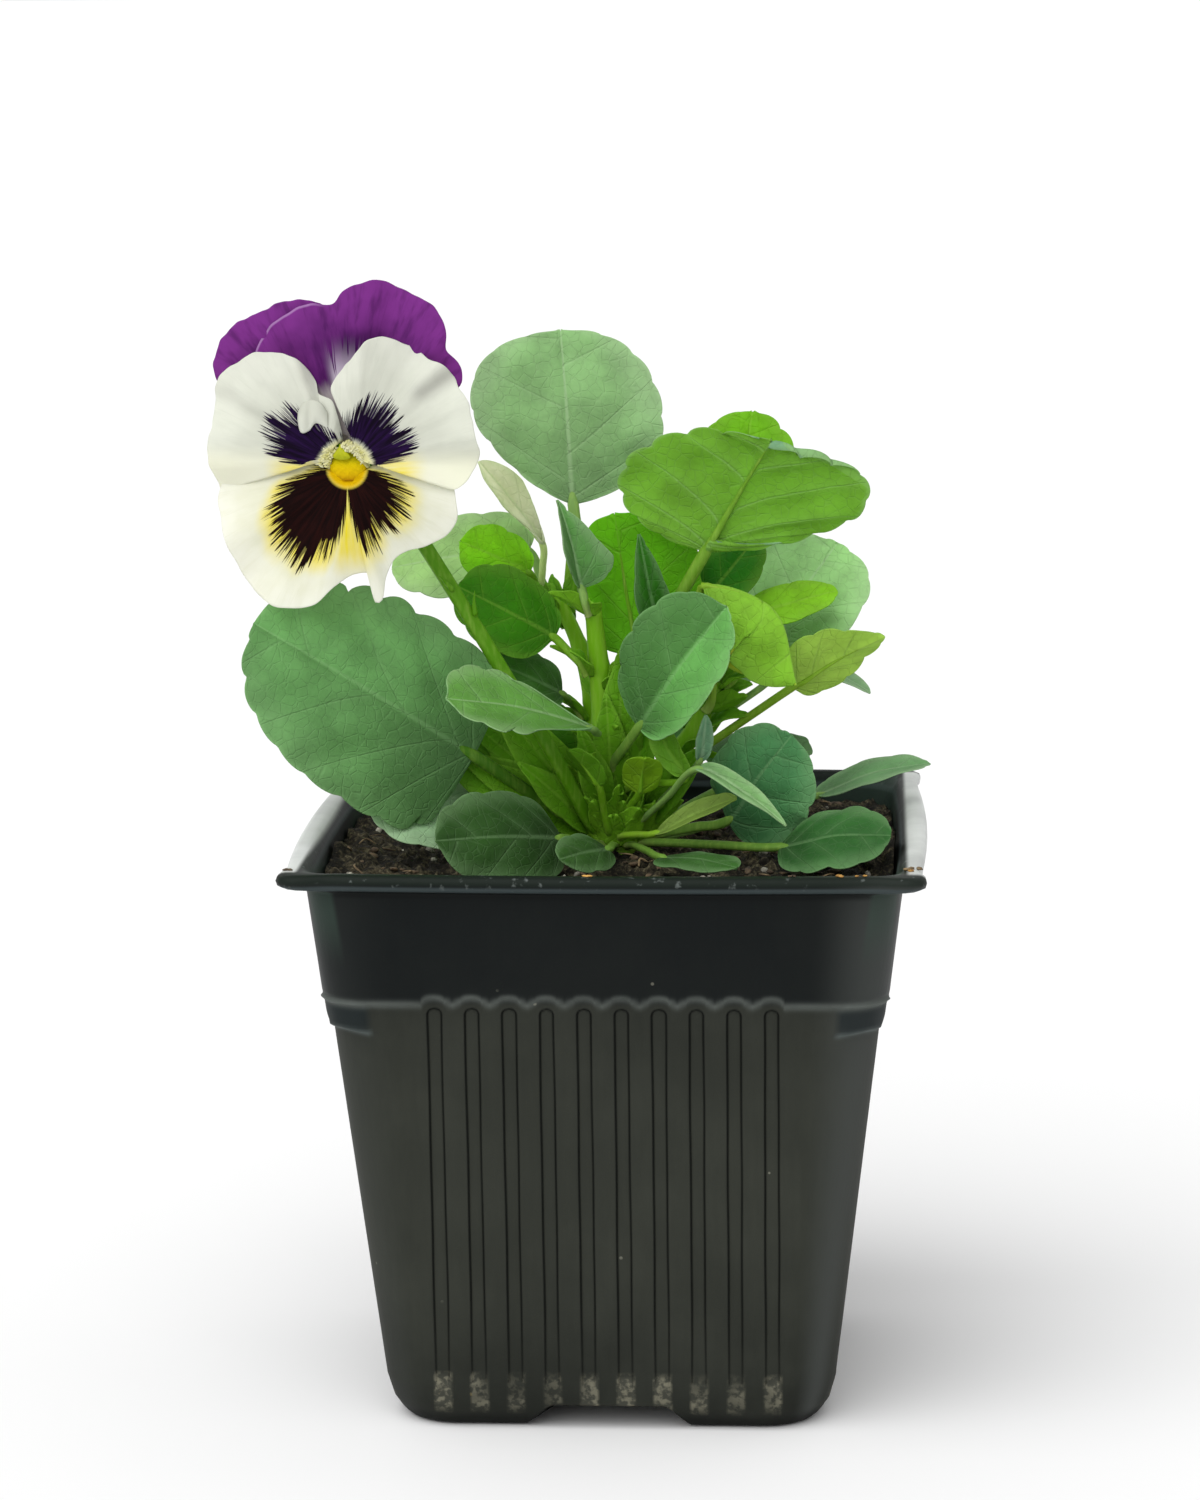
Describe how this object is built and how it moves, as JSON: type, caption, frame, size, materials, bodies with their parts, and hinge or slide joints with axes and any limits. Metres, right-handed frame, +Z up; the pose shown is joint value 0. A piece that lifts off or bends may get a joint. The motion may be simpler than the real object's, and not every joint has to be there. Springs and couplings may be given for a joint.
{
  "type": "potted pansy planter",
  "caption": "Square ribbed plastic nursery pot filled with compost, holding a leafy pansy plant with a purple and white whiskered flower.",
  "frame": {"origin": "middle of the pot's underside, on the surface the pot stands on", "axes": "+Z up, -Y out of the pot's front face towards the viewer, +X to the right of that face"},
  "size_m": [0.1035, 0.093, 0.167],
  "materials": {
    "pot_plastic": "satin charcoal moulded plastic, scuffed and dusty at the rim and base",
    "soil": "dark crumbly moist potting compost with fibres and pale grit",
    "stem": "smooth juicy green stem",
    "leaf_dark": "satin dark green leaf with paler veins",
    "leaf_glaucous": "matt pale bluish green leaf with pale veins",
    "leaf_bright": "satin bright green leaf",
    "leaf_yellow": "satin yellow-green leaf, paler veins",
    "petal_purple": "velvety violet-purple petal, paler at its edge",
    "petal_white": "soft white petal with a dark whiskered blotch",
    "petal_cream": "soft cream petal with a yellow zone and a dark whiskered blotch",
    "flower_eye": "smooth yellow-green pistil"
  },
  "bodies": {
    "root": {"pot": "pot_plastic", "soil": "soil", "crown": "stem", "flower_stalk": "stem", "petal_upper_left": "petal_purple", "petal_upper_right": "petal_purple", "petal_lower": "petal_cream", "petal_side_left": "petal_white", "petal_side_right": "petal_white", "sepal_1": "leaf_bright", "sepal_2": "leaf_bright", "sepal_3": "leaf_bright", "sepal_4": "leaf_bright", "sepal_5": "leaf_bright", "flower_column": "flower_eye", "leaf_left_large": "leaf_dark", "leaf_left_low": "leaf_glaucous", "leaf_front_left_low": "leaf_dark", "leaf_front_small": "leaf_dark", "leaf_front_right_low": "leaf_dark", "leaf_right_low": "leaf_dark", "leaf_right_rim": "leaf_glaucous", "leaf_right_round": "leaf_dark", "leaf_right_pointed": "leaf_glaucous", "leaf_middle_right": "leaf_dark", "leaf_right_folded": "leaf_yellow", "leaf_right_outer": "leaf_yellow", "leaf_right_outer_small": "leaf_bright", "leaf_right_back": "leaf_glaucous", "leaf_right_inner": "leaf_dark", "leaf_top_fan": "leaf_yellow", "leaf_top_behind_fan": "leaf_bright", "leaf_top_pale": "leaf_glaucous", "leaf_centre_folded": "leaf_glaucous", "leaf_centre_bright": "leaf_bright", "leaf_centre_inner": "leaf_dark", "leaf_left_bright": "leaf_bright", "leaf_left_middle": "leaf_bright", "leaf_left_back": "leaf_glaucous", "leaf_left_folded": "leaf_glaucous", "leaf_left_shade": "leaf_dark", "leaf_left_tall": "leaf_yellow", "leaf_young_left": "leaf_bright", "leaf_young_right": "leaf_bright", "leaf_young_blue": "leaf_glaucous", "leaf_low_left_wing": "leaf_bright", "leaf_low_left_inner": "leaf_bright", "leaf_low_right_wing": "leaf_bright", "leaf_low_right_inner": "leaf_yellow", "leaf_right_far": "leaf_glaucous", "leaf_back_left": "leaf_dark", "leaf_back_middle": "leaf_dark", "leaf_back_right": "leaf_dark", "leaf_back_high_right": "leaf_glaucous", "leaf_back_tall": "leaf_bright", "leaf_back_high_left": "leaf_dark"}
  },
  "joints": []
}
